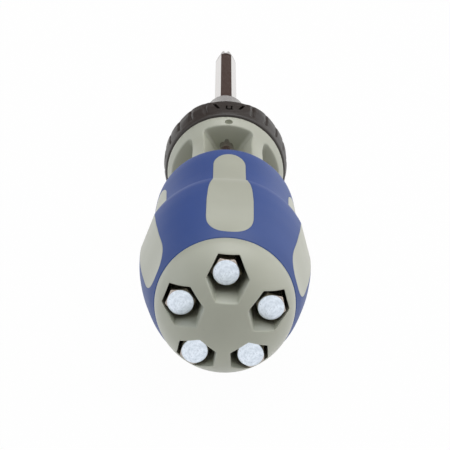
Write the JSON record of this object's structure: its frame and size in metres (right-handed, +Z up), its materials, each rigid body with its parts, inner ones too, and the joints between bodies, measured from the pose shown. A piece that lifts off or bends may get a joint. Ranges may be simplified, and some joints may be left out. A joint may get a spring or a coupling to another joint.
{
  "type": "multi-bit screwdriver",
  "caption": "Ratcheting screwdriver with a direction ring, a long driver bit in its chuck and further long bits stored lengthwise in the ribbed-neck handle.",
  "frame": {"origin": "centre of the bounding box in X and Y, lowest point of the grip at Z 0", "axes": "+Y along the tool's axis to the bit's tip, +Z up through one grip pad, +X to the right seen from the butt"},
  "size_m": [0.0428, 0.2536, 0.0423],
  "materials": {
    "cream_plastic": "satin moulded, light cream grey",
    "blue_grip": "soft overmould, matt, mid blue",
    "black_plastic": "satin moulded, brown black",
    "die_cast_zinc": "as cast, light tumbled",
    "bright_steel": "nickel plated, turned",
    "bit_steel": "satin plated tool steel",
    "tool_steel": "hardened, ground",
    "spring_steel": "dark blued spring strip",
    "bronze": "plain, oiled",
    "magnet": "nickel plated"
  },
  "bodies": {
    "handle": {"handle_core": "cream_plastic", "grip_sleeve": "blue_grip", "neck_cage": "cream_plastic", "ratchet_housing": "die_cast_zinc", "housing_cover": "black_plastic", "cover_screw_1": "bright_steel", "cover_screw_2": "bright_steel", "cover_screw_3": "bright_steel", "pawl_pin_left": "bright_steel", "pawl_pin_right": "bright_steel", "pawl_spring_left": "spring_steel", "pawl_spring_right": "spring_steel", "selector_detent_spring": "spring_steel"},
    "selector": {"selector_ring": "black_plastic"},
    "spindle": {"drive_spindle": "bright_steel", "ratchet_gear": "tool_steel", "thrust_washer_rear": "bronze", "thrust_washer_front": "bronze", "chuck_magnet": "magnet", "bit_snap_ring": "spring_steel"},
    "left_pawl": {"pawl_left": "tool_steel"},
    "right_pawl": {"pawl_right": "tool_steel"},
    "driver_bit": {"driver_bit": "bit_steel"},
    "stored_bit_cross": {"stored_bit_cross": "bit_steel"},
    "stored_bit_flat_narrow": {"stored_bit_flat_narrow": "bit_steel"},
    "stored_bit_star": {"stored_bit_star": "bit_steel"},
    "stored_bit_square": {"stored_bit_square": "bit_steel"},
    "stored_bit_flat_wide": {"stored_bit_flat_wide": "bit_steel"}
  },
  "joints": [
    {"name": "spindle_turn", "type": "hinge", "parent": "handle", "child": "spindle", "pos_m": [0, -0.0052, 0.02145], "axis": [0, 1, 0], "continuous": true},
    {"name": "selector_turn", "type": "hinge", "parent": "handle", "child": "selector", "pos_m": [0, -0.0052, 0.02145], "axis": [0, 1, 0], "range_deg": [-30, 30], "deforming": ["selector_detent_spring"]},
    {"name": "right_pawl_lift", "type": "hinge", "parent": "handle", "child": "right_pawl", "pos_m": [0.01126, -0.0052, 0.02047], "axis": [0, 1, 0], "range_deg": [0, 10], "stiffness_Nm_per_rad": 0.0015, "springref_deg": -11.46, "deforming": ["pawl_spring_right"]},
    {"name": "left_pawl_lift", "type": "hinge", "parent": "handle", "child": "left_pawl", "pos_m": [-0.01126, -0.0052, 0.02047], "axis": [0, -1, 0], "range_deg": [0, 10], "stiffness_Nm_per_rad": 0.0015, "springref_deg": -11.46, "deforming": ["pawl_spring_left"]},
    {"name": "driver_bit_pull", "type": "slide", "parent": "spindle", "child": "driver_bit", "axis": [0, 1, 0], "range_m": [0, 0.03]},
    {"name": "stored_bit_cross_pull", "type": "slide", "parent": "handle", "child": "stored_bit_cross", "axis": [0, -1, 0], "range_m": [0, 0.11]},
    {"name": "stored_bit_flat_narrow_pull", "type": "slide", "parent": "handle", "child": "stored_bit_flat_narrow", "axis": [0, -1, 0], "range_m": [0, 0.11]},
    {"name": "stored_bit_star_pull", "type": "slide", "parent": "handle", "child": "stored_bit_star", "axis": [0, -1, 0], "range_m": [0, 0.11]},
    {"name": "stored_bit_square_pull", "type": "slide", "parent": "handle", "child": "stored_bit_square", "axis": [0, -1, 0], "range_m": [0, 0.11]},
    {"name": "stored_bit_flat_wide_pull", "type": "slide", "parent": "handle", "child": "stored_bit_flat_wide", "axis": [0, -1, 0], "range_m": [0, 0.11]}
  ]
}
